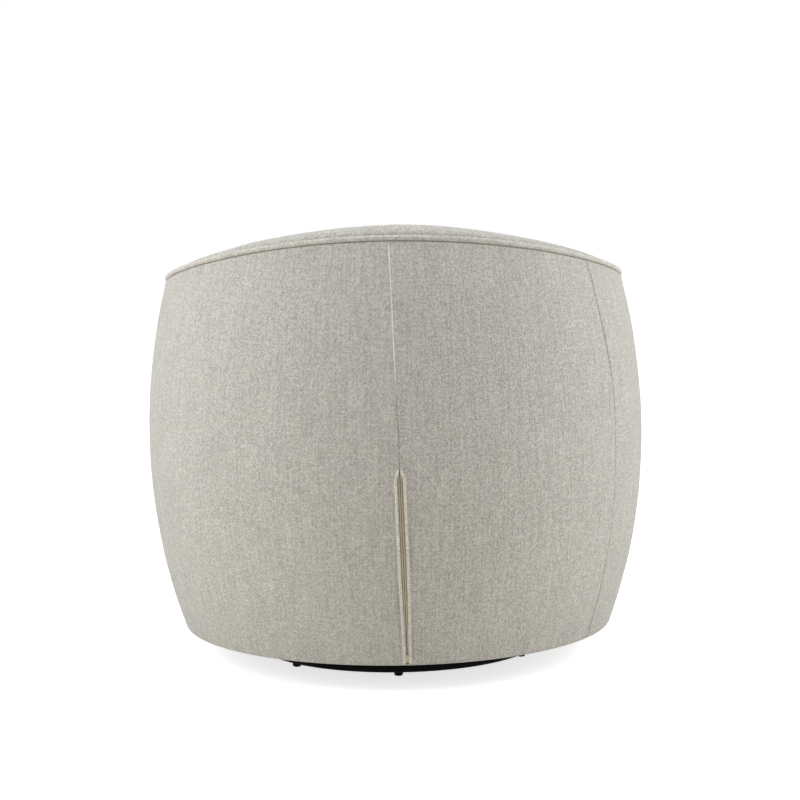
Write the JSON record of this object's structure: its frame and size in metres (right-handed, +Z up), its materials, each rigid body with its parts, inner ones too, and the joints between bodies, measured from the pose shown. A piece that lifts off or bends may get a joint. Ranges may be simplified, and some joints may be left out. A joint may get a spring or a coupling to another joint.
{
  "type": "swivel barrel chair",
  "caption": "Round-backed upholstered tub chair that swivels on a steel floor ring, with a zip down the back and a loose seat cushion.",
  "frame": {"origin": "on the floor, on the swivel axis, under the middle of the chair", "axes": "+Z up along the swivel axis, -Y out of the open front of the seat, +Y towards the back, +X towards the sitter's left arm"},
  "size_m": [0.81, 0.8091, 0.6958],
  "materials": {
    "upholstery": "off-white pebbled woven upholstery fabric, matt",
    "welt_cord": "the same fabric sewn round a cord",
    "foam": "cut polyurethane foam, pale yellow",
    "wadding": "white polyester wadding",
    "lining": "plain cotton lining",
    "black_lining": "black non-woven lining",
    "board": "brown hardboard",
    "plywood": "birch plywood",
    "frame_wood": "planed softwood",
    "webbing": "woven elastic webbing",
    "black_steel": "black powder-coated steel, satin",
    "zinc_steel": "zinc-plated steel",
    "bearing_steel": "polished bearing steel",
    "glide_plastic": "black moulded plastic",
    "zip_tape": "olive-tan woven polyester tape",
    "zip_coil": "tan nylon coil",
    "zip_metal": "antique brass-toned metal"
  },
  "bodies": {
    "base": {"base_ring": "black_steel", "cross_tubes": "black_steel", "glides": "glide_plastic", "lower_bearing_plate": "zinc_steel", "kingpin": "zinc_steel"},
    "cage": {"ball_cage": "zinc_steel", "bearing_balls": "bearing_steel"},
    "chair": {"arm_front_covers": "upholstery", "arm_front_pads": "foam", "arm_posts": "frame_wood", "back_posts": "frame_wood", "bottom_rails": "frame_wood", "bottom_ring_board": "plywood", "deck_cover": "lining", "deck_pad": "foam", "dust_cover": "black_lining", "front_cover": "upholstery", "hem_fold": "upholstery", "inner_liner": "board", "inside_cover": "upholstery", "inside_foam": "foam", "lower_posts": "frame_wood", "mounting_bolts": "zinc_steel", "outer_board": "board", "outer_wadding": "wadding", "outside_arm_left": "upholstery", "outside_arm_right": "upholstery", "outside_back_left": "upholstery", "outside_back_right": "upholstery", "rim_welt": "welt_cord", "seat_ring_board": "plywood", "swivel_board": "plywood", "tee_nuts": "zinc_steel", "top_rail": "plywood", "top_roll_cover": "upholstery", "top_roll_foam": "foam", "upper_bearing_plate": "zinc_steel", "webbing_across": "webbing", "webbing_along": "webbing", "zip_coil_left": "zip_coil", "zip_coil_right": "zip_coil", "zip_stops": "zip_metal", "zip_tape_left": "zip_tape", "zip_tape_right": "zip_tape"},
    "seat_cushion": {"cushion_core": "foam", "cushion_cover": "upholstery", "cushion_welt_bottom": "welt_cord", "cushion_welt_top": "welt_cord"},
    "slider": {"zip_slider": "zip_metal"}
  },
  "joints": [
    {"name": "swivel", "type": "hinge", "parent": "base", "child": "chair", "pos_m": [0, 0, 0.053], "axis": [0, 0, 1], "continuous": true},
    {"name": "cage_roll", "type": "hinge", "parent": "base", "child": "cage", "pos_m": [0, 0, 0.053], "axis": [0, 0, 1], "continuous": true},
    {"name": "cushion_lift", "type": "slide", "parent": "chair", "child": "seat_cushion", "axis": [0, 0, 1], "range_m": [0, 0.35]},
    {"name": "zip_run", "type": "hinge", "parent": "chair", "child": "slider", "pos_m": [0.01768, -0.49471, 0.34993], "axis": [0.9992, 0.0262, -0.0311], "range_deg": [0, 18.38]}
  ],
  "couplings": [
    {"joint": "cage_roll", "follows": "swivel", "ratio": 0.5}
  ]
}
